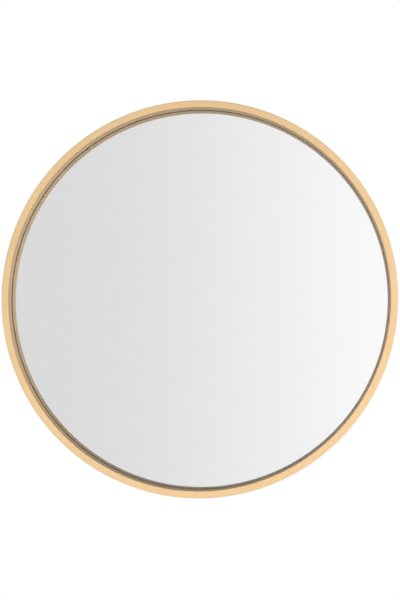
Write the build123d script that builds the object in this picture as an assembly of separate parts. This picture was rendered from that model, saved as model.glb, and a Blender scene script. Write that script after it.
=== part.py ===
from build123d import *

import os
from math import asin, cos, degrees, radians, sin, sqrt

# A round bathroom mirror in a deep, slim metal hoop, hung on a wall by two ring hangers.
# Frame: X to the right and +Z up as seen from the front, and the glass faces -Y.
# The origin is the centre of the bounding box: on the disc's axis, half way from the front
# face to the wall. Sizes are millimetres. A depth is measured along Y, a radius from the Y axis.

# Hoop: one bent extrusion with a hollow front box, an outer wall and a rear rib
outer_diameter = 610.0
face_width = 10.8
hoop_wall = 1.5
box_depth = 16.5
rib_depth = 3.0
rib_thickness = 1.5
outer_arris = 1.5
inner_arris = 0.5
rim_arris = 0.4
seam_gap = 0.2

# Layers behind the front box, from the front to the wall
gasket_thickness = 0.5
glass_thickness = 3.0
coating_thickness = 0.2
film_thickness = 0.2
tape_thickness = 1.0
board_thickness = 9.0
hanger_wall_gap = 1.3
bumper_proud = 1.0

# Radial fits of the layers
insertion_clearance = 0.5
film_margin = 3.0
gasket_inner_setback = 0.1
gasket_outer_setback = 0.2
arris_bevel = 0.5
spacer_clearance = 0.1

# Splice that closes the hoop at its lowest point
key_clearance = 0.25
key_end_margin = 16.0
key_screw_count = 4
key_screw_pitch = 20.0
key_screw_radius = 1.5
key_screw_end_wall = 4.25
key_head_radius = 2.75
key_head_rim = 0.15
thread_clearance = 0.05
head_clearance = 0.05

# Rubber pieces between the glass edge and the hoop
spacer_length = 20.0
setting_block_angles = (250.0, 290.0)
edge_spacer_angles = (20.0, 90.0, 160.0)

# Double-sided foam tape between the glass and the board
tape_width = 25.0
tape_pitch = 100.0
tape_edge_margin = 15.0

# Turn tabs: swivelling plates on the board that tuck under the hoop's rear rib
tab_count = 6
tab_thickness = 1.2
tab_width = 10.0
tab_reach = 15.8
tab_play = 0.1
tab_tip_gap = 0.7
tab_dimple_radius = 1.6
tab_dimple_depth = 0.5

# Screws
screw_tip_length = 2.0
screw_point_share = 0.125
head_dome_share = 0.55
recess_length = 3.0
recess_width = 0.8
recess_depth = 1.0
pilot_clearance = 0.05
pilot_extra_depth = 0.3
board_screw_end_wall = 1.5
tab_screw_radius = 1.5
tab_screw_head_radius = 2.8
tab_screw_head_height = 1.8
tab_screw_running_clearance = 0.08
strap_screw_radius = 1.75
strap_screw_head_radius = 3.4
strap_screw_head_height = 2.2
strap_hole_clearance = 0.15

# Ring hangers: a folded steel strap holds the straight bar of a D-shaped wire ring
hanger_angle = 45.0
hanger_inset = 91.4
strap_sheet = 1.0
strap_width = 16.0
strap_corner_radius = 3.5
strap_fold_angle = 40.0
strap_screw_start = 10.0
strap_screw_pitch = 14.0
strap_tail = 6.0
ring_wire_radius = 1.5
ring_corner_radius = 3.0
ring_arm_straight = 1.0
ring_side_play = 0.5
ring_bar_clearance = 0.1
ring_seat_gap = 0.3

# Wall bumpers
bumper_angle = 45.0
bumper_inset = 63.5
bumper_radius = 8.0
bumper_taper = 1.0
bumper_edge = 0.8

# Hanger heights above the board's back, in the plane across the ring's bar
loop_inner_radius = ring_wire_radius + ring_bar_clearance
loop_outer_radius = loop_inner_radius + strap_sheet
pivot_lift = loop_outer_radius
rear_cavity = pivot_lift + loop_outer_radius + hanger_wall_gap

# Depth stations, from the front face at -Y to the wall at +Y
stack = (box_depth, gasket_thickness, glass_thickness, coating_thickness, film_thickness,
         tape_thickness, board_thickness, rear_cavity, bumper_proud)
front_y = -sum(stack) / 2
ledge_back_y = front_y + box_depth
glass_y = ledge_back_y + gasket_thickness
coating_y = glass_y + glass_thickness
film_y = coating_y + coating_thickness
tape_y = film_y + film_thickness
board_y = tape_y + tape_thickness
board_back_y = board_y + board_thickness
tab_y = board_back_y + tab_play
rib_y = tab_y + tab_thickness + tab_play
rim_y = board_back_y + rear_cavity
ledge_y = ledge_back_y - hoop_wall

# Radii, from the outside inwards
outer_radius = outer_diameter / 2
wall_radius = outer_radius - hoop_wall
rib_radius = wall_radius - rib_depth
pane_radius = rib_radius - insertion_clearance
sight_radius = outer_radius - face_width
box_radius = sight_radius + hoop_wall
box_middle_radius = (box_radius + wall_radius) / 2
tab_pivot_radius = wall_radius - tab_tip_gap - tab_reach

# Ring hangers: the ring's centreline, the strap's length and the bar's place on the board
bow_radius = strap_width / 2 + ring_side_play + ring_corner_radius
arm_length = ring_corner_radius + ring_arm_straight
bow_reach = arm_length + bow_radius
strap_screw_drops = (strap_screw_start, strap_screw_start + strap_screw_pitch)
strap_length = strap_screw_drops[-1] + strap_tail
hanger_x = (wall_radius - hanger_inset) * cos(radians(hanger_angle))
hanger_z = (wall_radius - hanger_inset) * sin(radians(hanger_angle))

# Screw lengths, as deep as the walls in front of their ends allow
key_screw_length = box_depth - hoop_wall - key_clearance - key_screw_end_wall
board_screw_depth = board_thickness - board_screw_end_wall
tab_screw_length = board_screw_depth + tab_thickness + 2 * tab_play
strap_screw_length = board_screw_depth + 2 * strap_sheet


def at_back(shape, y=0.0):
    """Lays a shape drawn in the XY plane upright at depth y, its own +Z pointing to the wall."""
    return Pos(0, y, 0) * Rot(-90, 0, 0) * shape


def round_to(shape, angle):
    """Turns a shape from the +X side to an angle round the disc, anticlockwise from the front."""
    return Rot(0, -angle, 0) * shape


def turned(section, arc=360.0, middle=0.0):
    """Revolves a section of radius X and depth Y about the disc's axis, centred on an angle."""
    return round_to(revolve(section, Axis.Y, arc), middle + arc / 2)


def strip(r_low, r_high, y_low, y_high):
    """Rectangle of a section, by its limits in radius and in depth."""
    middle = Pos((r_low + r_high) / 2, (y_low + y_high) / 2)
    return middle * Rectangle(r_high - r_low, y_high - y_low)


def corner(section, x, y):
    """The vertex of a section that is nearest to a point."""
    return min(section.vertices(), key=lambda v: (v.X - x) ** 2 + (v.Y - y) ** 2)


def disc(radius, y, thickness, bevel=0.0):
    """Round plate from depth y towards the wall, with both arrises bevelled if asked."""
    plate = at_back(extrude(Circle(radius), thickness), y)
    return chamfer(plate.edges().filter_by(GeomType.CIRCLE), bevel) if bevel else plate


def arc_block(r_low, r_high, y_low, y_high, length, middle):
    """Curved bar of a given length along its outer radius, centred on an angle."""
    return turned(strip(r_low, r_high, y_low, y_high), degrees(length / r_high), middle)


def hole(radius, depth):
    """Round cutter from the plane Z = 0 down to a depth."""
    return Pos(0, 0, -depth) * extrude(Circle(radius), depth)


def pan_screw(radius, length, head_radius, head_height):
    """Pan-head screw with a cross recess, its head's underside on the plane Z = 0."""
    head = extrude(Circle(head_radius), head_height)
    head = fillet(head.edges().sort_by(Axis.Z)[-1], head_height * head_dome_share)
    slot = Box(recess_length, recess_width, 2 * recess_depth)
    recess = Pos(0, 0, head_height) * (slot + Rot(0, 0, 90) * slot)
    straight = length - screw_tip_length
    shank = Pos(0, 0, -straight) * extrude(Circle(radius), straight)
    tip = Cone(radius * screw_point_share, radius, screw_tip_length)
    return head - recess + shank + Pos(0, 0, -straight - screw_tip_length / 2) * tip


def key_screw(clearance=0.0):
    """Countersunk screw with its flat head's top on the plane Z = 0, or the hole for it."""
    radius = key_screw_radius + clearance
    head_radius = key_head_radius + clearance
    cone_height = head_radius - radius
    rim = Pos(0, 0, -key_head_rim) * extrude(Circle(head_radius), key_head_rim)
    cone = Pos(0, 0, -key_head_rim - cone_height / 2) * Cone(radius, head_radius, cone_height)
    shank = hole(radius, key_screw_length + (pilot_extra_depth if clearance else 0.0))
    if clearance:
        return rim + cone + shank
    slot = Box(recess_length, recess_width, 2 * recess_depth)
    return rim + cone + shank - (slot + Rot(0, 0, 90) * slot)


def key_screw_angles():
    """Angles round the disc of the splice screws, as many on each side of the seam."""
    steps = [n - (key_screw_count - 1) / 2 for n in range(key_screw_count)]
    return [270.0 + degrees(step * key_screw_pitch / box_middle_radius) for step in steps]


def at_key_screws(shape):
    """Copies of a shape at the splice screws, its plane Z = 0 on the back of the ledge."""
    placed = Pos(box_middle_radius, 0, 0) * at_back(shape, ledge_back_y)
    return [round_to(placed, angle) for angle in key_screw_angles()]


def tab_angles():
    """Angles round the disc of the turn tabs, the first on the +X side."""
    return [360.0 * n / tab_count for n in range(tab_count)]


def at_tab(shape, angle, y):
    """A shape with its origin on a tab's pivot, its +X outwards, at depth y."""
    return round_to(Pos(tab_pivot_radius, 0, 0) * at_back(shape, y), angle)


def at_strap_screws(shape, side, lift=0.0):
    """Copies of a shape at one strap's screws, its plane Z = 0 lifted off the board's back."""
    upright = at_back(shape, board_back_y + lift)
    return [Pos(side * hanger_x, 0, hanger_z - drop) * upright for drop in strap_screw_drops]


def frame_hoop():
    """Bent extrusion with a fine seam at its lowest point and holes for the splice screws."""
    section = strip(wall_radius, outer_radius, front_y, rim_y)
    section += strip(sight_radius, outer_radius, front_y, front_y + hoop_wall)
    section += strip(sight_radius, box_radius, front_y, ledge_back_y)
    section += strip(sight_radius, outer_radius, ledge_y, ledge_back_y)
    section += strip(rib_radius, outer_radius, rib_y, rib_y + rib_thickness)
    section = fillet(corner(section, outer_radius, front_y), outer_arris)
    section = fillet(corner(section, sight_radius, front_y), inner_arris)
    rim = [corner(section, r, rim_y) for r in (wall_radius, outer_radius)]
    section = fillet(rim, rim_arris)
    gap = degrees(seam_gap / outer_radius)
    hoop = turned(section, 360.0 - gap, 90.0)
    for cutter in at_key_screws(key_screw(head_clearance)):
        hoop -= cutter
    return hoop


def splice_key():
    """Curved bar inside the front box that joins the hoop's two ends."""
    length = (key_screw_count - 1) * key_screw_pitch + 2 * key_end_margin
    bar = arc_block(box_radius + key_clearance, wall_radius - key_clearance,
                    front_y + hoop_wall + key_clearance, ledge_y, length, 270.0)
    for cutter in at_key_screws(key_screw(thread_clearance)):
        bar -= cutter
    return bar


def front_gasket():
    """Foam strip between the hoop's ledge and the front of the glass."""
    return turned(strip(sight_radius + gasket_inner_setback, pane_radius - gasket_outer_setback,
                        ledge_back_y, glass_y))


def rubber_blocks(angles):
    """Rubber pieces that centre the glass in the hoop, one at each angle."""
    return [arc_block(pane_radius + spacer_clearance, wall_radius - spacer_clearance,
                      ledge_back_y, coating_y, spacer_length, angle) for angle in angles]


def mounting_tape():
    """Upright strips of foam tape, each as long as the round pane allows."""
    reach = pane_radius - tape_edge_margin
    half_count = int((reach - tape_width) / tape_pitch)
    strips = []
    for n in range(-half_count, half_count + 1):
        far_edge = abs(n) * tape_pitch + tape_width / 2
        length = 2 * sqrt(reach ** 2 - far_edge ** 2)
        middle = Pos(n * tape_pitch, tape_y + tape_thickness / 2, 0)
        strips.append(middle * Box(tape_width, tape_thickness, length))
    return strips


def backing_board():
    """Round board with blind pilot holes for the tab screws and the strap screws."""
    board = disc(pane_radius, board_y, board_thickness, arris_bevel)
    pilot_depth = board_screw_depth + pilot_extra_depth
    tab_pilot = hole(tab_screw_radius + pilot_clearance, pilot_depth)
    strap_pilot = hole(strap_screw_radius + pilot_clearance, pilot_depth)
    cutters = [at_tab(tab_pilot, angle, board_back_y) for angle in tab_angles()]
    for side in (-1, 1):
        cutters += at_strap_screws(strap_pilot, side)
    for cutter in cutters:
        board -= cutter
    return board


def turn_tab():
    """Stamped plate drawn about its pivot, with its nose towards +X and a finger dimple."""
    end = tab_width / 2
    nose = tab_reach - end
    outline = Circle(end) + Pos(nose / 2, 0) * Rectangle(nose, tab_width) + Pos(nose, 0) * Circle(end)
    outline -= Circle(tab_screw_radius + tab_screw_running_clearance)
    plate = extrude(outline, tab_thickness)
    dimple = hole(tab_dimple_radius, tab_dimple_depth)
    return plate - Pos(nose, 0, tab_thickness) * dimple


def tab_screws():
    """Screws that the tabs swivel on, one for each tab."""
    screw = pan_screw(tab_screw_radius, tab_screw_length,
                      tab_screw_head_radius, tab_screw_head_height)
    return [at_tab(screw, angle, rib_y) for angle in tab_angles()]


def fold_slope(radius, floor):
    """Where the strap's fold leaves a circle round the ring's bar, and where it meets a height."""
    lean = radians(strap_fold_angle)
    top = (-radius * sin(lean), pivot_lift + radius * cos(lean))
    foot = (top[0] - (top[1] - floor) / sin(lean) * cos(lean), floor)
    return top, foot


def hanger_strap():
    """Folded strap drawn about the ring's pivot: X across, Y up and Z off the board."""
    outer_top, outer_foot = fold_slope(loop_outer_radius, 2 * strap_sheet)
    inner_top, inner_foot = fold_slope(loop_inner_radius, strap_sheet)
    section = make_face(Polyline(outer_top, outer_foot, (-strap_length, 2 * strap_sheet),
                                 (-strap_length, 0), (0, 0), (0, pivot_lift), close=True))
    section += Pos(0, pivot_lift) * Circle(loop_outer_radius)
    section -= make_face(Polyline(inner_top, inner_foot, (0, strap_sheet), (0, pivot_lift), close=True))
    section -= Pos(0, pivot_lift) * Circle(loop_inner_radius)
    strap = extrude(Plane.YZ * section, strap_width / 2, both=True)
    tail = strap.edges().filter_by(Axis.Z).sort_by(Axis.Y)[:2]
    strap = fillet(tail, strap_corner_radius)
    through = hole(strap_screw_radius + strap_hole_clearance, 2 * strap_sheet)
    for screw_drop in strap_screw_drops:
        strap -= Pos(0, -screw_drop, 2 * strap_sheet) * through
    return strap


def hanger_ring():
    """D-shaped wire ring about its bar's centre: X along the bar, Y towards the bow."""
    arm = Line((bow_radius, 0), (bow_radius, arm_length))
    bow = CenterArc((0, arm_length), bow_radius, 0, 180)
    other_arm = Line((-bow_radius, arm_length), (-bow_radius, 0))
    bar = Line((-bow_radius, 0), (bow_radius, 0))
    outline = Wire([arm, bow, other_arm, bar])
    corners = outline.vertices().sort_by(Axis.Y)[:2]
    path = make_face(outline).face().fillet_2d(ring_corner_radius, corners).outer_wire()
    start = path @ 0
    section = Plane(origin=start, z_dir=path % 0) * Circle(ring_wire_radius)
    return sweep(section, path)


def ring_lean():
    """Degrees that a ring leans past upright, towards the board, when it rests on it."""
    return degrees(asin((pivot_lift - ring_wire_radius - ring_seat_gap) / bow_reach))


def hanger_place(side):
    """Location of a hanger's drawing on the board, its +Y up the board and its +Z off it."""
    return Pos(side * hanger_x, board_back_y, hanger_z) * Rot(0, 0, 180) * Rot(90, 0, 0)


def wall_bumper(side):
    """Tapered rubber foot stuck on the board, the first thing to touch the wall."""
    height = rear_cavity + bumper_proud
    foot = Pos(0, 0, height / 2) * Cone(bumper_radius, bumper_radius - bumper_taper, height)
    foot = fillet(foot.edges().sort_by(Axis.Z)[-1], bumper_edge)
    angle = 270.0 + side * (90.0 - bumper_angle)
    return round_to(Pos(wall_radius - bumper_inset, 0, 0) * at_back(foot, board_back_y), angle)


def all_pieces():
    """Every node of the mirror by name, each a shape or a list of separate solids."""
    pieces = {
        "frame_hoop": frame_hoop(),
        "splice_key": splice_key(),
        "splice_screws": at_key_screws(key_screw()),
        "front_gasket": front_gasket(),
        "mirror_glass": disc(pane_radius, glass_y, glass_thickness, arris_bevel),
        "silver_coating": disc(pane_radius - arris_bevel, coating_y, coating_thickness),
        "safety_film": disc(pane_radius - film_margin, film_y, film_thickness),
        "setting_blocks": rubber_blocks(setting_block_angles),
        "edge_spacers": rubber_blocks(edge_spacer_angles),
        "mounting_tape": mounting_tape(),
        "backing_board": backing_board(),
        "tab_screws": tab_screws(),
    }
    strap_screw = pan_screw(strap_screw_radius, strap_screw_length,
                            strap_screw_head_radius, strap_screw_head_height)
    leaning = Pos(0, 0, pivot_lift) * Rot(-ring_lean(), 0, 0)
    for name, side in (("left", -1), ("right", 1)):
        pieces[f"hanger_strap_{name}"] = hanger_place(side) * hanger_strap()
        pieces[f"hanger_ring_{name}"] = hanger_place(side) * leaning * hanger_ring()
        pieces[f"strap_screws_{name}"] = at_strap_screws(strap_screw, side, 2 * strap_sheet)
        pieces[f"wall_bumper_{name}"] = wall_bumper(side)
    for n, angle in enumerate(tab_angles(), start=1):
        pieces[f"turn_tab_{n}"] = at_tab(turn_tab(), angle, tab_y)
    return pieces


os.makedirs("parts", exist_ok=True)
for node, shape in all_pieces().items():
    solids = shape if isinstance(shape, list) else [shape]
    export_step(Compound(children=solids), f"parts/{node}.step")
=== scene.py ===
"""The looks of a round bathroom mirror in a deep, slim hoop of satin gold metal.

Metres, with +X to the right and +Z up as seen from the front, and the wall at +Y. A depth is
measured along Y, a radius from the Y axis, and an angle anticlockwise from +X.
"""

import logging
from dataclasses import dataclass, field
from enum import Enum
from functools import lru_cache
from math import cos, degrees, pi, radians, sin, sqrt, tan
from typing import Iterable, Mapping, Optional, Sequence, Union

import bmesh
import bpy
from mathutils import Matrix, Vector


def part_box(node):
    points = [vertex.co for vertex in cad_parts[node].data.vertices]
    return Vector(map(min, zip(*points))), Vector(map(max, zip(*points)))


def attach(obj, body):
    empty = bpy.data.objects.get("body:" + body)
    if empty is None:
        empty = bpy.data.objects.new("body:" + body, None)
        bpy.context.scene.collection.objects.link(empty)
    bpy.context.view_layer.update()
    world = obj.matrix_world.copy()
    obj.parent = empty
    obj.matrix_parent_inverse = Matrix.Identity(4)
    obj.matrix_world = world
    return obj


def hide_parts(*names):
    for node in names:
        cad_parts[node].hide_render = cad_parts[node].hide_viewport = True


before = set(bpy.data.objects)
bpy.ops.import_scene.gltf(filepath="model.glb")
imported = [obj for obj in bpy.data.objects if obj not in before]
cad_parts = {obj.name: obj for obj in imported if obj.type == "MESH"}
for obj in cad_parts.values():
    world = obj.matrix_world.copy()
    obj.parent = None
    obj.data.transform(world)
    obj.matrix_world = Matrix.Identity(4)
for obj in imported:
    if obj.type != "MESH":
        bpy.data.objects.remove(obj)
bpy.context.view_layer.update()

LOG = logging.getLogger("mirror")
MM = 0.001
FULL_TURN = 2 * pi
SHARP_ANGLE = radians(38)
ABOUT_Y = Matrix.Rotation(-pi / 2, 4, "X")  # Lays a drawing's Z axis along the depth.

Point = tuple[float, float]
Corner = tuple[float, float, float]
Colour = tuple[float, float, float, float]
Number = Union["Value", float]
Input = Union["Value", float, Sequence[float]]
Piece = bpy.types.Object
Ring = list[bmesh.types.BMVert]


def paint(red: int, green: int, blue: int) -> Colour:
    """Makes a shader colour from the numbers that a colour chart gives.

    Args:
        red, green, blue: Display values from 0 to 255.

    Returns:
        The linear colour, with full alpha.
    """
    shares = (channel / 255 for channel in (red, green, blue))
    linear = (s / 12.92 if s <= 0.04045 else ((s + 0.055) / 1.055) ** 2.4 for s in shares)
    return (*linear, 1.0)


class Value:
    """A socket whose value varies over a surface. Its operators add Math nodes."""

    def __init__(self, nodes: "Nodes", socket: bpy.types.NodeSocket) -> None:
        """Wraps an output socket of a node tree."""
        self.nodes = nodes
        self.socket = socket

    def __add__(self, other: Number) -> "Value":
        """Sum."""
        return self.nodes.maths("ADD", self, other)

    def __sub__(self, other: Number) -> "Value":
        """Difference."""
        return self.nodes.maths("SUBTRACT", self, other)

    def __rsub__(self, other: Number) -> "Value":
        """Difference from a plain number."""
        return self.nodes.maths("SUBTRACT", other, self)

    def __mul__(self, other: Number) -> "Value":
        """Product."""
        return self.nodes.maths("MULTIPLY", self, other)

    def __truediv__(self, other: Number) -> "Value":
        """Quotient."""
        return self.nodes.maths("DIVIDE", self, other)

    def __pow__(self, other: Number) -> "Value":
        """Power."""
        return self.nodes.maths("POWER", self, other)

    __radd__ = __add__


class Nodes:
    """A node tree that is built from expressions."""

    def __init__(self, tree: bpy.types.NodeTree) -> None:
        """Wraps the tree of a material or of the world."""
        self.tree = tree

    def add(self, kind: str, settings: Optional[Mapping[str, object]] = None,
            sockets: Optional[Mapping[str, Input]] = None, output: str = "") -> Value:
        """Adds one node.

        Args:
            kind: The node's type.
            settings: Its settings by name, set first.
            sockets: Values or links of its input sockets, by identifier.
            output: Identifier of the wanted output, or nothing for the first one.

        Returns:
            The wanted output.
        """
        node = self.tree.nodes.new(kind)
        for name, setting in (settings or {}).items():
            setattr(node, name, setting)
        self.plug(node, sockets or {})
        return Value(self, next(s for s in node.outputs if s.enabled and output in ("", s.identifier)))

    def plug(self, node: bpy.types.Node, sockets: Mapping[str, Input]) -> None:
        """Gives a node's input sockets their values or links.

        Args:
            node: The node.
            sockets: Values or links by the sockets' identifiers.
        """
        for identifier, value in sockets.items():
            socket = next(s for s in node.inputs if s.identifier == identifier)
            if isinstance(value, Value):
                self.tree.links.new(value.socket, socket)
            else:
                socket.default_value = value

    def maths(self, operation: str, *operands: Number) -> Value:
        """Adds a Math node on one to three operands.

        Args:
            operation: The node's operation.
            operands: Values or plain numbers.

        Returns:
            The result.
        """
        names = ("Value", "Value_001", "Value_002")
        return self.add("ShaderNodeMath", {"operation": operation}, dict(zip(names, operands)))

    def parts(self, vector: Value) -> tuple[Value, Value, Value]:
        """Splits a vector into its X, Y and Z."""
        split = self.add("ShaderNodeSeparateXYZ", sockets={"Vector": vector})
        return tuple(Value(self, socket) for socket in split.socket.node.outputs)

    def ray(self, question: str) -> Value:
        """Answers a question about the ray that meets the surface or the room."""
        return self.add("ShaderNodeLightPath", output=question)

    def vector(self, x: Number, y: Number, z: Number) -> Value:
        """Joins three numbers into a vector."""
        return self.add("ShaderNodeCombineXYZ", sockets={"X": x, "Y": y, "Z": z})

    def blend(self, share: Number, first: Input, second: Input) -> Value:
        """Mixes two colours.

        Args:
            share: How much of the second colour, from 0 to 1.
            first, second: Colours or links.

        Returns:
            The mixed colour.
        """
        return self.add("ShaderNodeMix", {"data_type": "RGBA"},
                        {"Factor_Float": share, "A_Color": first, "B_Color": second}, "Result_Color")

    def rise(self, value: Value, low: float, high: float) -> Value:
        """Rises smoothly from 0 at the low limit to 1 at the high one."""
        return self.add("ShaderNodeMapRange", {"interpolation_type": "SMOOTHSTEP"},
                        {"Value": value, "From Min": low, "From Max": high})

    def noise(self, at: Value, scale: float, detail: float = 2.0, rough: float = 0.5,
              depth: Optional[Value] = None) -> Value:
        """Cloudy noise from 0 to 1.

        Args:
            at: The place that it is read at.
            scale: Waves to the unit of that place.
            detail: Octaves of finer noise.
            rough: How strong the finer octaves are.
            depth: A fourth coordinate, where the noise needs one.

        Returns:
            The noise.
        """
        sockets = {"Vector": at, "Scale": scale, "Detail": detail, "Roughness": rough}
        if depth is not None:
            sockets["W"] = depth
        return self.add("ShaderNodeTexNoise", {"noise_dimensions": "4D" if depth else "3D"}, sockets)

    def cells(self, at: Value, scale: float) -> Value:
        """Distance to the nearest of scattered points."""
        return self.add("ShaderNodeTexVoronoi", sockets={"Vector": at, "Scale": scale}, output="Distance")

    def bump(self, height: Value, size: float, strength: float) -> Value:
        """Normal of a surface that rises by a height from 0 to 1 over a size in metres."""
        return self.add("ShaderNodeBump", sockets={"Height": height, "Distance": size,
                                                   "Strength": strength})


class Surface(Nodes):
    """A new material, with one Principled surface and the piece's own coordinates."""

    def __init__(self, name: str) -> None:
        """Makes the material under a name."""
        self.material = bpy.data.materials.new(name)
        self.material.use_nodes = True
        super().__init__(self.material.node_tree)
        self.shader = self.tree.nodes["Principled BSDF"]
        self.place = self.add("ShaderNodeTexCoord", output="Object")

    def turned_place(self) -> tuple[Value, Value, Value, Value]:
        """Coordinates of a turned piece.

        Returns:
            The radius, the depth, and the cosine and sine of the angle round the disc.
        """
        x, y, z = self.parts(self.place)
        radius = (x * x + z * z) ** 0.5
        safe = self.maths("MAXIMUM", radius, 0.1 * MM)
        return radius, y, x / safe, z / safe

    def brushed(self, turns: float, pitch: float) -> Value:
        """Draws fine lines that run round the disc.

        Args:
            turns: How quickly they change on the way round.
            pitch: Their spacing.

        Returns:
            Their height from 0 to 1.
        """
        radius, depth, across, up = self.turned_place()
        along = self.vector(across * turns, up * turns, radius / pitch)
        return self.noise(along, 1.0, 3.0, 0.6, depth=depth / pitch)

    def dress(self, **sockets: Input) -> None:
        """Sets or links the surface's own sockets, with _ for a blank in their names."""
        self.plug(self.shader, {name.replace("_", " "): value for name, value in sockets.items()})


@dataclass(frozen=True)
class Finish:
    """A finish of the real product, and the material slot of the record that it is for."""

    slot: str

    def fill(self, surface: Surface) -> None:
        """Builds the finish's nodes on a new surface."""
        raise NotImplementedError

    @lru_cache(maxsize=None)
    def material(self) -> bpy.types.Material:
        """The finish's material, made once."""
        surface = Surface(f"finish_{self.slot}_{type(self).__name__}")
        self.fill(surface)
        return surface.material


@dataclass(frozen=True)
class SatinGold(Finish):
    """Satin anodised aluminium in pale gold, brushed along the hoop."""

    slot: str = "gold_aluminium"
    colour: Colour = paint(238, 203, 154)
    deep_colour: Colour = paint(231, 194, 143)
    metallic: float = 0.35
    roughness: float = 0.40
    roughness_spread: float = 0.07
    streak_turns: float = 5.0
    streak_pitch: float = 0.22 * MM
    grain_pitch: float = 0.09 * MM
    clouds_per_metre: float = 14.0
    streak_share: float = 0.9
    relief: float = 0.004 * MM

    def fill(self, surface: Surface) -> None:
        """Brushes long fine streaks round the hoop over a blasted grain.

        Args:
            surface: The new surface.
        """
        streaks = surface.brushed(self.streak_turns, self.streak_pitch)
        grain = surface.noise(surface.place, 1 / self.grain_pitch, 2.0)
        clouds = surface.noise(surface.place, self.clouds_per_metre, 2.0)
        tone = surface.maths("MULTIPLY_ADD", streaks - 0.5, self.streak_share, clouds)
        surface.dress(
            Base_Color=surface.blend(tone, self.deep_colour, self.colour),
            Metallic=self.metallic,
            Roughness=self.roughness + (streaks - 0.5) * self.roughness_spread
            + (grain - 0.5) * self.roughness_spread,
            Normal=surface.bump(streaks + grain * 0.5, self.relief, 0.5))


@dataclass(frozen=True)
class MillAluminium(Finish):
    """Bare extruded aluminium with the die's fine lines along it."""

    slot: str = "raw_aluminium"
    light: Colour = paint(205, 207, 209)
    dark: Colour = paint(168, 171, 174)
    line_turns: float = 3.0
    line_pitch: float = 0.3 * MM
    patches_per_metre: float = 60.0
    relief: float = 0.01 * MM

    def fill(self, surface: Surface) -> None:
        """Draws die lines along the bend, and dull patches.

        Args:
            surface: The new surface.
        """
        lines = surface.brushed(self.line_turns, self.line_pitch)
        patches = surface.noise(surface.place, self.patches_per_metre, 3.0)
        surface.dress(Base_Color=surface.blend(lines * patches * 2.0, self.dark, self.light),
                      Metallic=1.0, Roughness=0.32 + lines * 0.2,
                      Normal=surface.bump(lines, self.relief, 0.4))


@dataclass(frozen=True)
class FloatGlass(Finish):
    """Clear float glass, with a seamed arris and a faint green in its edge."""

    slot: str = "mirror_glass"
    edge_from: float = 298.2 * MM
    seam_from: float = 299.45 * MM
    seam_width: float = 0.1 * MM
    grind_grain: float = 0.4 * MM
    clear: Colour = (0.91, 0.94, 0.93, 1.0)
    edge_green: Colour = paint(172, 214, 196)
    ior: float = 1.52
    seam_roughness: float = 0.35

    def fill(self, surface: Surface) -> None:
        """Greens the glass towards its edge, and grinds the arris.

        Args:
            surface: The new surface.
        """
        radius, *_ = surface.turned_place()
        edge = surface.rise(radius, self.edge_from, self.seam_from)
        seam = surface.rise(radius, self.seam_from, self.seam_from + self.seam_width)
        grind = surface.noise(surface.place, 1 / self.grind_grain, 2.0)
        surface.dress(Base_Color=surface.blend(edge, self.clear, self.edge_green),
                      Roughness=seam * grind * self.seam_roughness,
                      IOR=self.ior, Transmission_Weight=1.0)


@dataclass(frozen=True)
class Silver(Finish):
    """The silver layer: a mirror towards the glass, under a copper-grey paint at the back."""

    slot: str = "silver"
    bright: Colour = (0.80, 0.777, 0.786, 1.0)
    paint_dark: Colour = paint(120, 112, 106)
    paint_light: Colour = paint(136, 126, 118)
    paint_roughness: float = 0.55
    mottles_per_metre: float = 90.0

    def fill(self, surface: Surface) -> None:
        """Silvers the front, and paints the sides and the back.

        Args:
            surface: The new surface.
        """
        _, facing, _ = surface.parts(surface.add("ShaderNodeNewGeometry", output="Normal"))
        back = surface.rise(facing, -0.9, -0.5)
        mottle = surface.noise(surface.place, self.mottles_per_metre, 3.0)
        painted = surface.blend(mottle, self.paint_dark, self.paint_light)
        surface.dress(Base_Color=surface.blend(back, self.bright, painted),
                      Metallic=1.0 - back, Roughness=back * self.paint_roughness)


@dataclass(frozen=True)
class SafetyFilm(Finish):
    """Pale plastic film with a fine woven scrim."""

    slot: str = "safety_film"
    light: Colour = paint(214, 218, 220)
    dark: Colour = paint(176, 183, 188)
    thread_pitch: float = 1.6 * MM
    thread_sharpness: float = 6.0
    relief: float = 0.03 * MM

    def fill(self, surface: Surface) -> None:
        """Weaves two sets of threads under the film.

        Args:
            surface: The new surface.
        """
        x, _, z = surface.parts(surface.place)
        turns = FULL_TURN / self.thread_pitch
        upright, level = (surface.maths("SINE", way * turns) * 0.5 + 0.5 for way in (x, z))
        threads = surface.maths("MAXIMUM", upright ** self.thread_sharpness,
                                level ** self.thread_sharpness)
        surface.dress(Base_Color=surface.blend(threads, self.light, self.dark),
                      Roughness=0.34 + threads * 0.2,
                      Normal=surface.bump(threads, self.relief, 0.6))


@dataclass(frozen=True)
class Foam(Finish):
    """Closed-cell foam in one tone of grey."""

    light: Colour = paint(235, 233, 228)
    dark: Colour = paint(205, 203, 198)
    cell: float = 0.35 * MM
    cells_to_cloud: float = 9.0
    relief: float = 0.1 * MM

    def fill(self, surface: Surface) -> None:
        """Covers the surface in small cells of uneven depth.

        Args:
            surface: The new surface.
        """
        pores = surface.cells(surface.place, 1 / self.cell)
        clouds = surface.noise(surface.place, 1 / (self.cells_to_cloud * self.cell), 2.0)
        surface.dress(Base_Color=surface.blend(pores * 0.7 + clouds * 0.5, self.dark, self.light),
                      Roughness=0.75 + clouds * 0.2,
                      Normal=surface.bump(pores, self.relief, 0.7))


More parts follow.
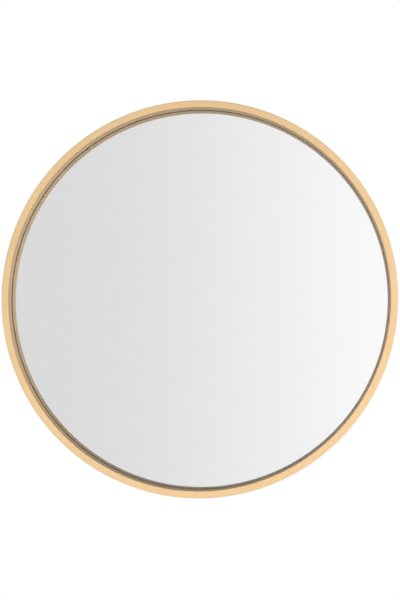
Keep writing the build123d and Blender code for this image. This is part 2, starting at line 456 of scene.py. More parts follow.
@dataclass(frozen=True)
class Fibreboard(Finish):
    """Medium-density fibreboard: a pressed brown face with fine fibres, and darker cut edges."""

    slot: str = "fibreboard"
    light: Colour = paint(190, 158, 118)
    dark: Colour = paint(150, 116, 80)
    fleck: Colour = paint(98, 70, 46)
    edge: Colour = paint(140, 105, 70)
    edge_radius: float = 299.6 * MM
    fibre_length: float = 2.2 * MM
    fibre_width: float = 0.22 * MM
    clouds_per_metre: float = 22.0
    fleck_pitch: float = 2.6 * MM
    relief: float = 0.05 * MM

    def fill(self, surface: Surface) -> None:
        """Scatters fibres two ways, adds dark flecks and darkens the sawn edge.

        Args:
            surface: The new surface.
        """
        x, y, z = surface.parts(surface.place)
        level = surface.vector(x / self.fibre_length, y / self.fibre_width, z / self.fibre_width)
        upright = surface.vector(x / self.fibre_width, y / self.fibre_width, z / self.fibre_length)
        fibres = surface.maths("MAXIMUM", surface.noise(level, 1.0, 3.0, 0.65),
                               surface.noise(upright, 1.0, 3.0, 0.65))
        clouds = surface.noise(surface.place, self.clouds_per_metre, 3.0)
        shade = surface.rise(fibres * 0.86 + clouds * 0.14, 0.38, 0.70)
        flecks = 1.0 - surface.rise(surface.cells(surface.place, 1 / self.fleck_pitch), 0.06, 0.17)
        radius, *_ = surface.turned_place()
        sawn = surface.rise(radius, self.edge_radius, self.edge_radius + 0.2 * MM)
        face = surface.blend(flecks * 0.55, surface.blend(shade, self.dark, self.light), self.fleck)
        surface.dress(Base_Color=surface.blend(sawn * 0.7, face, self.edge),
                      Roughness=0.62 + sawn * 0.25 - shade * 0.08,
                      Normal=surface.bump(fibres + sawn * fibres, self.relief, 0.5))


@dataclass(frozen=True)
class ZincSteel(Finish):
    """Bright zinc plate over rolled steel, with a faint blue and yellow bloom."""

    slot: str = "zinc_steel"
    cool: Colour = paint(196, 203, 210)
    warm: Colour = paint(206, 200, 184)
    dull: Colour = paint(158, 162, 166)
    blooms_per_metre: float = 150.0
    spots_per_metre: float = 900.0
    rolled_per_metre: tuple[float, float, float] = (900.0, 9000.0, 110.0)
    relief: float = 0.01 * MM

    def fill(self, surface: Surface) -> None:
        """Clouds the plate, and scratches it finely.

        Args:
            surface: The new surface.
        """
        bloom = surface.noise(surface.place, self.blooms_per_metre, 2.0)
        spots = surface.noise(surface.place, self.spots_per_metre, 3.0, 0.6)
        x, y, z = surface.parts(surface.place)
        across, deep, up = self.rolled_per_metre
        rolled = surface.noise(surface.vector(x * across, y * deep, z * up), 1.0, 2.0)
        plate = surface.blend(surface.rise(bloom, 0.35, 0.65), self.cool, self.warm)
        surface.dress(Base_Color=surface.blend(surface.rise(spots, 0.5, 0.75) * 0.6, plate, self.dull),
                      Metallic=1.0, Roughness=0.26 + spots * 0.16 + rolled * 0.1,
                      Normal=surface.bump(spots + rolled, self.relief, 0.4))


@dataclass(frozen=True)
class BlackRubber(Finish):
    """Moulded black rubber with a dusty bloom."""

    slot: str = "black_rubber"
    black: Colour = paint(34, 34, 35)
    bloom: Colour = paint(62, 62, 63)
    clouds_per_metre: float = 260.0
    tooth_pitch: float = 0.25 * MM
    relief: float = 0.03 * MM

    def fill(self, surface: Surface) -> None:
        """Blooms the rubber in clouds, and gives it a fine tooth.

        Args:
            surface: The new surface.
        """
        clouds = surface.noise(surface.place, self.clouds_per_metre, 3.0)
        tooth = surface.noise(surface.place, 1 / self.tooth_pitch, 2.0)
        surface.dress(Base_Color=surface.blend(surface.rise(clouds, 0.4, 0.7), self.black, self.bloom),
                      Roughness=0.52 + tooth * 0.22,
                      Normal=surface.bump(tooth, self.relief, 0.5))


GOLD = SatinGold()
MILL = MillAluminium()
GLASS = FloatGlass()
SILVER = Silver()
FILM = SafetyFilm()
WHITE_FOAM = Foam("foam_tape")
PALE_FOAM = Foam("grey_foam", light=paint(240, 236, 228), dark=paint(222, 216, 206))
BOARD = Fibreboard()
ZINC = ZincSteel()
RUBBER = BlackRubber()


def rounded(corners: Sequence[Corner], steps: int = 5) -> list[Point]:
    """Rounds the corners of a closed outline.

    Args:
        corners: Each corner's place and radius. A radius of 0 keeps it sharp.
        steps: How many straight steps make each arc.

    Returns:
        The points of the outline.
    """
    points = []
    for n, (x, y, radius) in enumerate(corners):
        here = Vector((x, y))
        if radius == 0:
            points.append((x, y))
            continue
        to_last = (Vector(corners[n - 1][:2]) - here).normalized()
        to_next = (Vector(corners[(n + 1) % len(corners)][:2]) - here).normalized()
        half = to_last.angle(to_next) / 2
        centre = here + (to_last + to_next).normalized() * radius / sin(half)
        first = here + to_last * radius / tan(half) - centre
        last = here + to_next * radius / tan(half) - centre
        for k in range(steps + 1):
            arm = (first * (steps - k) + last * k).normalized() * radius
            points.append(tuple(centre + arm))
    return points


def arc_points(radius: float, first: float, last: float, steps: int, centre: Point = (0, 0)) -> list[Point]:
    """Points along an arc.

    Args:
        radius: The arc's radius.
        first, last: Its end angles in radians.
        steps: How many straight steps make it.
        centre: Its centre.

    Returns:
        One more point than there are steps.
    """
    angles = (first + (last - first) * k / steps for k in range(steps + 1))
    return [(centre[0] + radius * cos(a), centre[1] + radius * sin(a)) for a in angles]


def circle(radius: float, steps: int, centre: Point = (0, 0)) -> list[Point]:
    """Points round a circle, one for each step."""
    return arc_points(radius, 0, FULL_TURN, steps, centre)[:-1]


def round_the_disc(angle: float, radius: float, depth: float) -> Matrix:
    """Place on the disc for a drawing whose +Z points to the wall and whose +X points outwards.

    Args:
        angle: Angle round the disc in degrees.
        radius: The origin's distance from the axis.
        depth: The origin's depth.

    Returns:
        The matrix from the drawing to the frame.
    """
    return Matrix.Rotation(-radians(angle), 4, "Y") @ Matrix.Translation((radius, depth, 0)) @ ABOUT_Y


class Modeller:
    """Collects rings of points and the faces between them into one mesh."""

    def __init__(self) -> None:
        """Starts an empty mesh."""
        self.mesh = bmesh.new()

    def ring(self, points: Iterable[Sequence[float]]) -> Ring:
        """Adds points, in order."""
        return [self.mesh.verts.new(point) for point in points]

    def circle(self, radius: float, height: float, steps: int, centre: Point = (0, 0)) -> Ring:
        """Adds the points of a level circle."""
        return self.ring((x, y, height) for x, y in circle(radius, steps, centre))

    def skin(self, rings: Sequence[Ring], looped: bool = False) -> None:
        """Joins each ring to the next with quads.

        Args:
            rings: Closed rings of as many points.
            looped: Whether the last ring joins the first one.
        """
        followers = [*rings[1:], rings[0]] if looped else rings[1:]
        for first, second in zip(rings, followers):
            for n in range(len(first)):
                after = (n + 1) % len(first)
                self.mesh.faces.new((first[n], first[after], second[after], second[n]))

    def fan(self, ring: Ring, tip: Sequence[float]) -> None:
        """Closes a ring with triangles to a point."""
        point = self.mesh.verts.new(tip)
        for n, vert in enumerate(ring):
            self.mesh.faces.new((vert, ring[(n + 1) % len(ring)], point))

    def fill(self, *rings: Ring) -> None:
        """Fills the face inside the first ring and outside the others."""
        edges = []
        for ring in rings:
            for n, vert in enumerate(ring):
                pair = (vert, ring[(n + 1) % len(ring)])
                edges.append(self.mesh.edges.get(pair) or self.mesh.edges.new(pair))
        bmesh.ops.triangle_fill(self.mesh, use_beauty=True, use_dissolve=False, edges=edges)

    def make(self, name: str, place: Matrix = Matrix.Identity(4)) -> Piece:
        """Ends the mesh.

        Args:
            name: The new object's name.
            place: Where the drawing goes in the frame. The object itself stays at the origin.

        Returns:
            The object, smooth apart from its sharp edges.
        """
        bmesh.ops.recalc_face_normals(self.mesh, faces=self.mesh.faces)
        self.mesh.transform(place)
        mesh = bpy.data.meshes.new(name)
        self.mesh.to_mesh(mesh)
        self.mesh.free()
        return stand(name, mesh)


def stand(name: str, mesh: bpy.types.Mesh) -> Piece:
    """Puts a mesh in the scene.

    Args:
        name: The new object's name.
        mesh: Its mesh.

    Returns:
        The object, shaded smooth with even normals on its flats.
    """
    mesh.shade_smooth()
    mesh.set_sharp_from_angle(angle=SHARP_ANGLE)
    piece = bpy.data.objects.new(name, mesh)
    bpy.context.scene.collection.objects.link(piece)
    even = piece.modifiers.new("even_normals", "WEIGHTED_NORMAL")
    even.keep_sharp = True
    even.weight = 80
    return piece


def cut(piece: Piece, cutter: Piece) -> None:
    """Cuts one piece's shape out of another, and deletes the cutter.

    Args:
        piece: The piece that is cut.
        cutter: A closed shape.
    """
    tool = piece.modifiers.new("cut", "BOOLEAN")
    tool.operation = "DIFFERENCE"
    tool.solver = "EXACT"
    tool.object = cutter
    piece.modifiers.move(len(piece.modifiers) - 1, 0)
    piece.modifiers["even_normals"].show_viewport = False
    graph = bpy.context.evaluated_depsgraph_get()
    mesh = bpy.data.meshes.new_from_object(piece.evaluated_get(graph))
    piece.modifiers.remove(tool)
    piece.modifiers["even_normals"].show_viewport = True
    piece.data = mesh
    mesh.set_sharp_from_angle(angle=SHARP_ANGLE)
    bpy.data.objects.remove(cutter)


def copies(piece: Piece, name: str, places: Sequence[Matrix]) -> Piece:
    """Repeats a piece at several places, as one object.

    Args:
        piece: The piece, which is deleted.
        name: The new object's name.
        places: Where each copy goes.

    Returns:
        The group of copies.
    """
    group = bmesh.new()
    for place in places:
        part = piece.data.copy()
        part.transform(place)
        group.from_mesh(part)
        bpy.data.meshes.remove(part)
    mesh = bpy.data.meshes.new(name)
    group.to_mesh(mesh)
    group.free()
    bpy.data.objects.remove(piece)
    return stand(name, mesh)


def turned(name: str, section: Sequence[Point], steps: int,
           place: Matrix = Matrix.Identity(4)) -> Piece:
    """Turns a closed section about the drawing's Z axis.

    Args:
        name: The new object's name.
        section: Radius and height of its points. If it starts and ends on the axis, the piece is solid.
        steps: Steps round the axis.
        place: Where the drawing goes in the frame.

    Returns:
        The turned piece.
    """
    modeller = Modeller()
    solid = section[0][0] == 0
    body = section[1:-1] if solid else section
    rings = [modeller.circle(r, z, steps) for r, z in body]
    modeller.skin(rings, looped=not solid)
    if solid:
        modeller.fan(rings[0], (0, 0, section[0][1]))
        modeller.fan(rings[-1], (0, 0, section[-1][1]))
    return modeller.make(name, place)


def fit(piece: Piece, body: str, finish: Finish, *nodes: str) -> None:
    """Finishes a modelled piece and puts it on its body.

    Args:
        piece: The piece, in place.
        body: The body that it rides on.
        finish: Its finish.
        nodes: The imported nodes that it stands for.
    """
    piece.data.materials.clear()
    piece.data.materials.append(finish.material())
    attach(piece, body)
    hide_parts(*nodes)
    LOG.info("%s rides on %s for %s", piece.name, body, ", ".join(nodes))


def dress(node: str, finish: Finish) -> None:
    """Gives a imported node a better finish.

    Args:
        node: The node's name.
        finish: Its finish.
    """
    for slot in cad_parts[node].material_slots:
        slot.material = finish.material()
    LOG.info("%s keeps its own shape in %s", node, finish.slot)


def depths_of(node: str) -> Point:
    """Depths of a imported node's front and back."""
    low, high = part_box(node)
    return low[1], high[1]


class Depths:
    """Depths of the layers from the front face to the wall, as the imported parts give them."""

    sheet = 1.5 * MM
    front, rim = depths_of("frame_hoop")
    face_back = front + sheet
    ledge_back, glass = depths_of("front_gasket")
    ledge = ledge_back - sheet
    silver, film = depths_of("silver_coating")
    _, board_back = depths_of("backing_board")
    tab, tab_back = depths_of("turn_tab_1")
    rib = tab_back + 0.1 * MM
    rib_back = rib + sheet


DEPTHS = Depths()


@dataclass
class Hoop:
    """The bent gold extrusion, with the key and the screws that join its ends."""

    outer: float = 305.0 * MM
    wall: float = 303.5 * MM
    rib: float = 300.5 * MM
    box: float = 295.7 * MM
    sight: float = 294.2 * MM
    outer_arris: float = 1.5 * MM
    inner_arris: float = 0.5 * MM
    rim_arris: float = 0.4 * MM
    die_radius: float = 0.2 * MM
    seam: float = 0.2 * MM
    steps: int = 480
    screw_ring: float = 299.6 * MM
    screw_places: tuple[float, ...] = (-30.0 * MM, -10.0 * MM, 10.0 * MM, 30.0 * MM)
    sink_radius: float = 2.8 * MM
    sink_rim: float = 0.15 * MM
    screw_hole: float = 1.55 * MM

    def section(self) -> list[Point]:
        """Draws the outside of the extrusion's section.

        Returns:
            The radius and depth of its points.
        """
        d = DEPTHS
        die = self.die_radius
        return rounded([
            (self.outer, d.front, self.outer_arris), (self.outer, d.rim, self.rim_arris),
            (self.wall, d.rim, self.rim_arris), (self.wall, d.rib_back, die),
            (self.rib, d.rib_back, die), (self.rib, d.rib, die), (self.wall, d.rib, die),
            (self.wall, d.ledge_back, die), (self.sight, d.ledge_back, die),
            (self.sight, d.front, self.inner_arris)])

    def cavity(self) -> list[Point]:
        """Draws the hollow of the front box, as radius and depth."""
        d = DEPTHS
        die = self.die_radius
        return rounded([(self.box, d.face_back, die), (self.wall, d.face_back, die),
                        (self.wall, d.ledge, die), (self.box, d.ledge, die)], steps=3)

    def shell(self) -> Piece:
        """Bends the section into a hoop that is open by a hair at its lowest point.

        Returns:
            The hoop.
        """
        gap = self.seam / self.outer
        angles = [-pi / 2 + gap / 2 + (FULL_TURN - gap) * n / self.steps for n in range(self.steps + 1)]
        modeller = Modeller()
        ends = []
        for outline in (self.section(), self.cavity()):
            rings = [modeller.ring((r * cos(a), y, r * sin(a)) for r, y in outline) for a in angles]
            modeller.skin(rings)
            ends.append((rings[0], rings[-1]))
        for outside, inside in zip(*ends):
            modeller.fill(outside, inside)
        return modeller.make("gold_hoop")

    def sink(self, hoop: Piece) -> None:
        """Cuts the countersunk holes for the key's screws through the ledge.

        Args:
            hoop: The hoop.
        """
        rim, hole = self.sink_radius, self.screw_hole
        top, floor, bottom = 1 * MM, self.sink_rim + rim - hole, 3 * MM
        section = [(0, top), (rim, top), (rim, -self.sink_rim), (hole, -floor),
                   (hole, -bottom), (0, -bottom)]
        for along in self.screw_places:
            angle = 270 + degrees(along / self.screw_ring)
            place = round_the_disc(angle, self.screw_ring, DEPTHS.ledge_back)
            cut(hoop, turned("drill", section, 32, place))

    def build(self) -> None:
        """Models the hoop, and dresses what is inside its box."""
        hoop = self.shell()
        self.sink(hoop)
        fit(hoop, "mirror", GOLD, "frame_hoop")
        dress("splice_key", MILL)
        dress("splice_screws", ZINC)


@dataclass
class Pane:
    """The silvered glass, with its gasket and the rubber that centres it."""

    radius: float = 300.0 * MM
    arris: float = 0.5 * MM
    bond: float = 0.02 * MM
    gasket_inner: float = 294.3 * MM
    gasket_outer: float = 299.8 * MM
    gasket_edge: float = 0.15 * MM
    steps: int = 480
    inner_rings: tuple[float, ...] = (0.25, 0.5, 0.75)

    def plate(self, name: str, radius: float, front: float, back: float, arris: float) -> Piece:
        """Makes a round plate about the mirror's axis.

        Args:
            name: The new object's name.
            radius: The plate's radius.
            front, back: The depths of its faces.
            arris: How much its edges are bevelled.

        Returns:
            The plate.
        """
        flat = [radius * share for share in self.inner_rings]
        front_face = [(r, front) for r in (0, *flat, radius - arris)]
        back_face = [(r, back) for r in (0, *flat, radius - arris)]
        edge = [(radius, front + arris), (radius, back - arris)] if arris else []
        section = front_face + edge + back_face[::-1]
        return turned(name, section, self.steps, ABOUT_Y)

    def build(self) -> None:
        """Models the glass, its silver and the gasket, and dresses the rest."""
        d = DEPTHS
        glass = self.plate("glass_pane", self.radius, d.glass, d.silver, self.arris)
        fit(glass, "mirror", GLASS, "mirror_glass")
        silver = self.plate("silver_layer", self.radius - self.arris, d.silver - self.bond, d.film, 0)
        fit(silver, "mirror", SILVER, "silver_coating")
        inner, outer, edge = self.gasket_inner, self.gasket_outer, self.gasket_edge
        pressed = d.glass + self.bond
        strip = rounded([(inner, d.ledge_back, edge), (outer, d.ledge_back, edge),
                         (outer, pressed, edge), (inner, pressed, edge)], steps=3)
        gasket = turned("foam_gasket", strip, self.steps, ABOUT_Y)
        fit(gasket, "mirror", PALE_FOAM, "front_gasket")
        dress("safety_film", FILM)
        dress("setting_blocks", RUBBER)
        dress("edge_spacers", RUBBER)


@dataclass
class Screw:
    """A pan-head screw with a cross recess and a real thread, its head's underside at Z = 0."""

    radius: float
    length: float
    head_radius: float
    head_height: float
    plain: float
    pitch: float = 1.3 * MM
    thread_depth: float = 0.22
    flank_slope: float = 4.5
    rows_per_thread: int = 8
    tip_length: float = 2.0 * MM
    tip_share: float = 0.12
    head_edge: float = 0.12 * MM
    head_side: float = 0.4
    dome_steps: int = 9
    steps: int = 28
    recess_length: float = 3.0 * MM
    recess_width: float = 0.8 * MM
    recess_depth: float = 1.0 * MM
    recess_taper: float = 0.72

    def shank_radius(self, height: float, angle: float) -> float:
        """Radius of the thread at a height below the head and an angle round the screw.

        Args:
            height: Height, from 0 under the head down to minus the length.
            angle: Angle in radians.

        Returns:
            The radius there.
        """
        to_tip = (height + self.length) / self.tip_length
        envelope = self.radius * min(1.0, self.tip_share + (1.0 - self.tip_share) * to_tip)
        if height > -self.plain:
            return envelope
        phase = (height / self.pitch - angle / FULL_TURN) % 1.0
        crest = max(0.0, 1.0 - abs(phase - 0.5) * self.flank_slope)
        return envelope * (1.0 - self.thread_depth * (1.0 - crest))

    def head(self) -> list[Point]:
        """Draws the domed head, from its underside to just short of its crown.

        Returns:
            The radius and height of its points.
        """
        radius, edge = self.head_radius, self.head_edge
        side = self.head_side * self.head_height
        rise = self.head_height - side
        slopes = [pi / 2 * n / self.dome_steps for n in range(1, self.dome_steps)]
        dome = [(radius * cos(a) ** 0.75, side + rise * sin(a) ** 0.8) for a in slopes]
        return [(radius - edge, 0.0), (radius, edge), (radius, side), *dome]

    def make(self, name: str, places: Sequence[Matrix]) -> Piece:
        """Models the screw and repeats it.

        Args:
            name: The new object's name.
            places: Where each screw goes.

        Returns:
            The group of screws.
        """
        modeller = Modeller()
        angles = [FULL_TURN * n / self.steps for n in range(self.steps)]
        rows = int(self.length / self.pitch * self.rows_per_thread)
        heights = [-self.length + self.length * n / rows for n in range(rows + 1)]
        rings = []
        for height in heights:
            radii = [self.shank_radius(height, a) for a in angles]
            rings.append(modeller.ring((r * cos(a), r * sin(a), height) for r, a in zip(radii, angles)))
        rings += [modeller.circle(r, z, self.steps) for r, z in self.head()]
        modeller.skin(rings)
        modeller.fan(rings[0], (0, 0, -self.length))
        modeller.fan(rings[-1], (0, 0, self.head_height))
        screw = modeller.make(name + "_one")
        cut(screw, self.recess())
        return copies(screw, name, places)

    def recess(self) -> Piece:
        """Models the tapered cross that the driver fits.

        Returns:
            The cutter.
        """
        arm = self.recess_length / 2
        half = self.recess_width / 2
        cross = [(half, half), (half, arm), (-half, arm), (-half, half), (-arm, half), (-arm, -half),
                 (-half, -half), (-half, -arm), (half, -arm), (half, -half), (arm, -half), (arm, half)]
        modeller = Modeller()
        rings = []
        for share, height in ((1.0 / self.recess_taper, self.recess_depth),
                              (1.0, 0.0), (self.recess_taper, -self.recess_depth)):
            points = ((x * share, y * share, self.head_height + height) for x, y in cross)
            rings.append(modeller.ring(points))
        modeller.skin(rings)
        modeller.fill(rings[0])
        modeller.fill(rings[-1])
        return modeller.make("cross_cutter")


class Side(Enum):
    """The two sides of the mirror, as seen from the front."""

    LEFT = -1
    RIGHT = 1

    @property
    def label(self) -> str:
        """The side's word in names."""
        return self.name.lower()

    @property
    def sign(self) -> int:
        """Minus one on the left, and one on the right."""
        return self.value


@dataclass
class Backing:
    """The fibreboard behind the glass, its tape and its two rubber feet."""

    foot_radius: float = 8.0 * MM
    foot_taper: float = 1.0 * MM
    foot_rim: float = 0.3 * MM
    foot_edge: float = 0.8 * MM
    foot_dish: float = 0.3 * MM
    dish_edge: float = 0.4 * MM
    dish_shares: Point = (0.6, 0.5)
    foot_height: float = 7.5 * MM
    foot_ring: float = 240.0 * MM
    foot_angle: float = 45.0
    foot_steps: int = 64

    def foot(self, side: Side) -> None:
        """Models one rubber foot with a dished end.

        Args:
            side: Which side of the board it is on.
        """
        top, height = self.foot_radius - self.foot_taper, self.foot_height
        dish = height - self.foot_dish
        outer, inner = (top * share for share in self.dish_shares)
        section = rounded([
            (0, 0, 0), (self.foot_radius, 0, self.foot_rim), (top, height, self.foot_edge),
            (outer, height, self.dish_edge), (inner, dish, self.dish_edge), (0, dish, 0)])
        angle = 270.0 + side.sign * self.foot_angle
        place = round_the_disc(angle, self.foot_ring, DEPTHS.board_back)
        foot = turned(f"rubber_foot_{side.label}", section, self.foot_steps, place)
        fit(foot, "mirror", RUBBER, f"wall_bumper_{side.label}")

    def build(self) -> None:
        """Dresses the board and the tape, and models the feet."""
        dress("backing_board", BOARD)
        dress("mounting_tape", WHITE_FOAM)
        for side in Side:
            self.foot(side)


@dataclass
class TurnTabs:
    """The six swivelling plates that hold the board in, and their screws."""

    count: int = 6
    pivot: float = 287.0 * MM
    thickness: float = 1.2 * MM
    width: float = 10.0 * MM
    reach: float = 15.8 * MM
    hole: float = 1.58 * MM
    edge: float = 0.2 * MM
    dimple: float = 1.6 * MM
    dimple_depth: float = 0.5 * MM
    bore_steps: int = 32
    screw: Screw = field(default_factory=lambda: Screw(
        1.5 * MM, 8.9 * MM, 2.8 * MM, 1.8 * MM, plain=1.4 * MM))

    def outline(self, inset: float) -> list[Point]:
        """The plate's outer edge, drawn in by an inset."""
        end = self.width / 2
        nose = self.reach - end
        return (arc_points(end - inset, -pi / 2, pi / 2, 24, (nose, 0))
                + arc_points(end - inset, pi / 2, 3 * pi / 2, 24))

    def plate(self, number: int, angle: float) -> None:
        """Models one plate with rolled edges and a pressed finger dimple.

        Args:
            number: The plate's number.
            angle: Its angle round the disc in degrees.
        """
        modeller = Modeller()
        t, e = self.thickness, self.edge
        levels = ((e, 0), (0.3 * e, 0.3 * e), (0, e), (0, t - e), (0.3 * e, t - 0.3 * e), (e, t))
        outside = [modeller.ring((x, y, z) for x, y in self.outline(inset)) for inset, z in levels]
        bore = [modeller.circle(self.hole + 0.5 * inset, z, self.bore_steps) for inset, z in levels]
        modeller.skin(outside)
        modeller.skin(bore)
        modeller.fill(outside[0], bore[0])
        nose = (self.reach - self.width / 2, 0)
        slopes = [pi / 2 * n / 6 for n in range(6)]
        cup = [modeller.circle(self.dimple * cos(a), t - self.dimple_depth * sin(a),
                               self.bore_steps, nose) for a in slopes]
        modeller.skin(cup)
        modeller.fan(cup[-1], (*nose, t - self.dimple_depth))
        modeller.fill(outside[-1], bore[-1], cup[0])
        tab = modeller.make(f"tab_plate_{number}", round_the_disc(angle, self.pivot, DEPTHS.tab))
        fit(tab, f"turn_tab_{number}", ZINC, f"turn_tab_{number}")

    def build(self) -> None:
        """Models the plates and their screws."""
        angles = [360.0 * n / self.count for n in range(self.count)]
        for number, angle in enumerate(angles, start=1):
            self.plate(number, angle)
        places = [round_the_disc(angle, self.pivot, DEPTHS.rib) for angle in angles]
        fit(self.screw.make("tab_pan_screws", places), "mirror", ZINC, "tab_screws")


@dataclass
class RingHanger:
    """A folded steel strap, the D-shaped wire ring that swings in it, and its two screws."""

    side: Side
    across: float = 149.977 * MM
    up: float = 149.977 * MM
    sheet: float = 1.0 * MM
    width: float = 16.0 * MM
    loop_inner: float = 1.6 * MM
    fold_angle: float = 40.0
    fold_radius: float = 1.2 * MM
    length: float = 30.0 * MM
    tail_corner: float = 3.5 * MM
    strap_edge: float = 0.15 * MM
    fold_slack: float = 0.01 * MM
    along_tail: Point = (0.6, 0.3)
    screw_drops: tuple[float, ...] = (10.0 * MM, 24.0 * MM)
    screw_hole: float = 1.9 * MM
    wire: float = 1.5 * MM
    bow: float = 11.5 * MM
    arm: float = 4.0 * MM
    ring_corner: float = 3.0 * MM
    lean: float = 2.9585
    screw: Screw = field(default_factory=lambda: Screw(
        1.75 * MM, 9.5 * MM, 3.4 * MM, 2.2 * MM, plain=2.2 * MM))

    @property
    def pivot(self) -> float:
        """Height of the ring's bar off the board."""
        return self.loop_inner + self.sheet

    def place(self) -> Matrix:
        """Where the hanger's drawing goes: its +Y up the board and its +Z off it."""
        origin = Matrix.Translation((self.side.sign * self.across, DEPTHS.board_back, self.up))
        return origin @ Matrix.Rotation(pi, 4, "Z") @ Matrix.Rotation(pi / 2, 4, "X")

    def route(self) -> list[tuple[Vector, Vector]]:
        """Middle line of the folded sheet, from the lower tail to the upper one.

        Returns:
            Places and outward normals, in the drawing's Y and Z.
        """
        fold = radians(self.fold_angle)
        half = self.sheet / 2
        middle = self.loop_inner + half
        top = Vector((-middle * sin(fold), self.pivot + middle * cos(fold)))
        foot = Vector((top.x - (top.y - 1.5 * self.sheet) / tan(fold), 1.5 * self.sheet))
        starts = [(1 - cos(pi / 2 * n / 6)) * self.tail_corner for n in range(6)] + [self.tail_corner]
        line = [Vector((-self.length + s, half)) for s in starts]
        line += [Vector((-self.length * share, half)) for share in self.along_tail]
        line += [Vector(p) for p in arc_points(middle, -pi / 2, pi / 2 + fold, 22, (0, self.pivot))]
        slack = self.fold_radius * tan(fold / 2)
        centre = Vector((foot.x - slack, foot.y + self.fold_radius))
        bend = arc_points(self.fold_radius, -pi / 2 + fold, -pi / 2, 5, tuple(centre))
        line += [Vector(p) for p in bend]
        line.append(Vector((-self.length * self.along_tail[0], foot.y)))
        line += [Vector((-self.length + s, foot.y)) for s in reversed(starts)]
        stations = []
        for n, point in enumerate(line):
            last = line[max(n - 1, 0)]
            after = line[min(n + 1, len(line) - 1)]
            run = (after - last).normalized()
            stations.append((point, Vector((run.y, -run.x))))
        return stations

    def half_width(self, along: float) -> float:
        """Half the strap's width at a place along it, drawn in round the tail's corners."""
        r = self.tail_corner
        from_tail = min(max(along + self.length, 0.0), r)
        return self.width / 2 - r + sqrt(max(r * r - (r - from_tail) ** 2, 0.0))

    def strap(self) -> Piece:
        """Folds the sheet round the ring's bar, and punches its screw holes.

        Returns:
            The strap.
        """
        edge = self.strap_edge
        half = self.sheet / 2 - self.fold_slack
        modeller = Modeller()
        rings = []
        for point, normal in self.route():
            side = self.half_width(point.x)
            section = rounded([(side, half, edge), (-side, half, edge),
                               (-side, -half, edge), (side, -half, edge)], steps=3)
            rings.append(modeller.ring((x, point.x + normal.x * t, point.y + normal.y * t)
                                       for x, t in section))
        modeller.skin(rings)
        modeller.fill(rings[0])
        modeller.fill(rings[-1])
        strap = modeller.make(f"folded_strap_{self.side.label}", self.place())
        for drop in self.screw_drops:
            drill = turned("drill", [(0, -1 * MM), (self.screw_hole, -1 * MM),
                                     (self.screw_hole, 4 * MM), (0, 4 * MM)], 32,
                           self.place() @ Matrix.Translation((0, -drop, 0)))
            cut(strap, drill)
        return strap

    def ring(self) -> Piece:
        """Bends the wire into a closed D.

        Returns:
            The ring, leaning on the board as it rests.
        """
        r, c = self.bow, self.ring_corner
        line = arc_points(c, -pi / 2, 0, 8, (r - c, c)) + arc_points(r, 0, pi, 48, (0, self.arm))
        line += arc_points(c, pi, 3 * pi / 2, 8, (c - r, c))
        line += [((r - c) * share, 0.0) for share in (-0.5, 0.0, 0.5)]
        modeller = Modeller()
        rings = []
        for n, (x, y) in enumerate(line):
            before, after = line[n - 1], line[(n + 1) % len(line)]
            run = Vector((after[0] - before[0], after[1] - before[1])).normalized()
            wire = circle(self.wire, 20)
            rings.append(modeller.ring((x + run.y * a, y - run.x * a, b) for a, b in wire))
        modeller.skin(rings, looped=True)
        leaning = Matrix.Translation((0, 0, self.pivot)) @ Matrix.Rotation(-radians(self.lean), 4, "X")
        return modeller.make(f"wire_ring_{self.side.label}", self.place() @ leaning)

    def build(self) -> None:
        """Models the strap, the ring and the screws."""
        label = self.side.label
        fit(self.strap(), "mirror", ZINC, f"hanger_strap_{label}")
        fit(self.ring(), f"hanger_ring_{label}", ZINC, f"hanger_ring_{label}")
        lift = 2 * self.sheet
        places = [self.place() @ Matrix.Translation((0, -drop, lift)) for drop in self.screw_drops]
        screws = self.screw.make(f"strap_pan_screws_{label}", places)
        fit(screws, "mirror", ZINC, f"strap_screws_{label}")


def hang(name: str, data: bpy.types.ID, direction: Point, distance: float,
         aim: Corner = (0.0, 0.0, 0.0)) -> Piece:
    """Hangs a lamp or a camera that faces a point.

    Args:
        name: The new object's name.
        data: The lamp or the camera.
        direction: Its azimuth from the front and its elevation, in degrees.
        distance: Its distance from the point.
        aim: The point.

    Returns:
        The new object.
    """
    a, e = (radians(angle) for angle in direction)
    away = Vector((sin(a) * cos(e), -cos(a) * cos(e), sin(e)))
    holder = bpy.data.objects.new(name, data)
    holder.location = Vector(aim) + away * distance
    holder.rotation_mode = "QUATERNION"
    holder.rotation_quaternion = away.to_track_quat("Z", "Y")
    bpy.context.scene.collection.objects.link(holder)
    return holder


@dataclass
class Softbox:
    """A square soft lamp that faces the mirror, by its direction and its share of the light."""

    name: str
    direction: Point
    share: float
    mirrored: bool = False
    size: float = 2.5
    distance: float = 4.0
    least_facing: float = 0.2

    def build(self) -> None:
        """Hangs the lamp. A share of 1 lights a white face to white."""
        lamp = bpy.data.lights.new(self.name, "AREA")
        lamp.size = self.size
        azimuth, elevation = (radians(angle) for angle in self.direction)
        facing = max(abs(cos(azimuth) * cos(elevation)), self.least_facing)
        lamp.energy = self.share * pi ** 2 * self.distance ** 2 / facing
        holder = hang(self.name, lamp, self.direction, self.distance)
        holder.visible_camera = False
        holder.visible_glossy = self.mirrored
        holder.visible_transmission = self.mirrored


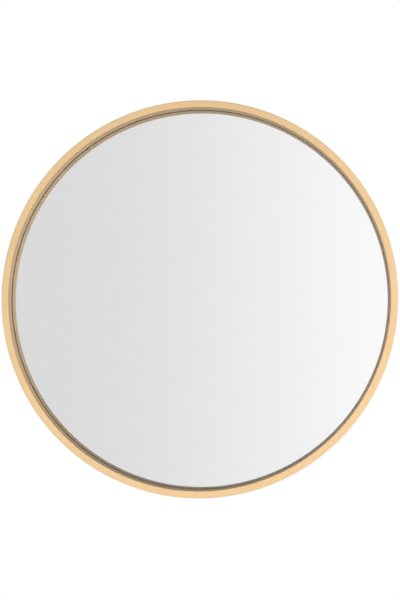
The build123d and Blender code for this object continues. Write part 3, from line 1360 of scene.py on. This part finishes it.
@dataclass
class Studio:
    """The plain room round the mirror: its light, its floor and the camera."""

    lamps: Sequence[Softbox] = field(default_factory=lambda: (
        Softbox("key_light", (40.0, -4.0), 0.47), Softbox("fill_light", (-38.0, -4.0), 0.22),
        Softbox("back_light", (150.0, 35.0), 0.25, mirrored=True)))
    camera_direction: Point = (5.6, -2.65)
    camera_distance: float = 1.25
    frame_height: float = 0.9170
    aim: Point = (7.55 * MM, -4.5 * MM)
    sensor: float = 36.0
    floor_depth: float = -1.5
    floor_radius: float = 2.4
    floor_fade: Point = (0.3, 0.98)
    floor_colour: Colour = paint(232, 232, 230)
    speckle_colour: Colour = paint(236, 236, 235)
    speckles_per_metre: float = 40.0
    dim: float = 0.16
    behind: float = 0.9
    behind_rise: Point = (-0.05, 0.35)
    window_level: float = 1.04
    window_middle: float = 0.04
    window_left: Point = (-0.70, -0.36)
    window_top: Point = (0.25, 0.45)
    window_foot: Point = (0.36, 0.75)
    left_level: float = 0.953
    right_rise: float = 0.475
    wall_rise: Point = (-0.34, 0.30)
    wall_curve: float = 1.2

    @staticmethod
    def mirrored(nodes: Nodes) -> Value:
        """Tells the room that the glass shows from the room that lights the other pieces.

        Args:
            nodes: The world's nodes.

        Returns:
            1 for the ray that comes out of the glass on its way back, and 0 for the others.
        """
        matt, shiny = nodes.ray("Diffuse Depth"), nodes.ray("Glossy Depth")
        bounces = (1.0 - nodes.rise(matt, 0.0, 1.0)) * (1.0 - nodes.rise(shiny, 1.0, 2.0))
        return nodes.ray("Is Transmission Ray") * bounces

    def room(self) -> None:
        """Paints the room: white to the camera, a window that lights, and an even wall to the glass."""
        world = bpy.data.worlds.new("room")
        bpy.context.scene.world = world
        world.use_nodes = True
        nodes = Nodes(world.node_tree)
        x, y, z = nodes.parts(nodes.add("ShaderNodeTexCoord", output="Generated"))
        ahead = nodes.maths("MAXIMUM", 0.0 - y, 0.05)
        right = x / ahead
        up = z / ahead - self.window_middle
        beside = nodes.rise(right, *self.window_left)
        above = 1.0 - nodes.rise(up, *self.window_top)
        below = 1.0 - nodes.rise(0.0 - up, *self.window_foot)
        lit = self.dim + beside * above * below * (self.window_level - self.dim)
        wall = nodes.rise(right, *self.wall_rise) ** self.wall_curve
        seen = wall * self.right_rise + self.left_level
        front = lit + (seen - lit) * self.mirrored(nodes)
        level = front + (self.behind - front) * nodes.rise(y, *self.behind_rise)
        strength = level + (1.0 - level) * nodes.ray("Is Camera Ray")
        background = world.node_tree.nodes["Background"]
        nodes.plug(background, {"Color": (1.0, 1.0, 1.0, 1.0), "Strength": strength})

    def floor(self) -> None:
        """Lays a pale floor far below the mirror, which fades into the white of the room."""
        modeller = Modeller()
        modeller.mesh.faces.new(modeller.circle(self.floor_radius, self.floor_depth, 96))
        floor = modeller.make("floor")
        surface = Surface("floor_paint")
        speckle = surface.noise(surface.place, self.speckles_per_metre, 3.0)
        surface.dress(Base_Color=surface.blend(speckle, self.floor_colour, self.speckle_colour),
                      Roughness=0.7)
        x, y, _ = surface.parts(surface.place)
        near, edge = (share * self.floor_radius for share in self.floor_fade)
        far = surface.rise((x * x + y * y) ** 0.5, near, edge)
        white = surface.add("ShaderNodeEmission")
        painted = Value(surface, surface.shader.outputs[0])
        mixed = surface.add("ShaderNodeMixShader", sockets={
            "Fac": far * surface.ray("Is Camera Ray"), "Shader": painted, "Shader_001": white})
        output = surface.tree.nodes["Material Output"]
        surface.plug(output, {"Surface": mixed})
        floor.data.materials.append(surface.material)

    def camera(self) -> None:
        """Sets the camera at the photograph's angle, aimed at the middle of the hoop."""
        lens = bpy.data.cameras.new("camera")
        lens.sensor_width = self.sensor
        lens.lens = self.sensor * self.camera_distance / self.frame_height
        aim = (self.aim[0], DEPTHS.front, self.aim[1])
        bpy.context.scene.camera = hang("camera", lens, self.camera_direction, self.camera_distance, aim)

    def build(self) -> None:
        """Sets up the room, the lamps, the floor and the camera."""
        self.room()
        for lamp in self.lamps:
            lamp.build()
        self.floor()
        self.camera()
        bpy.context.scene.view_settings.view_transform = "Standard"


def main() -> None:
    """Builds the mirror on its frame, sub-assembly by sub-assembly, and the room round it."""
    logging.basicConfig(level=logging.INFO, format="%(name)s: %(message)s")
    for assembly in (Hoop(), Pane(), Backing(), TurnTabs(), RingHanger(Side.LEFT),
                     RingHanger(Side.RIGHT), Studio()):
        assembly.build()


if __name__ == "__main__":
    main()
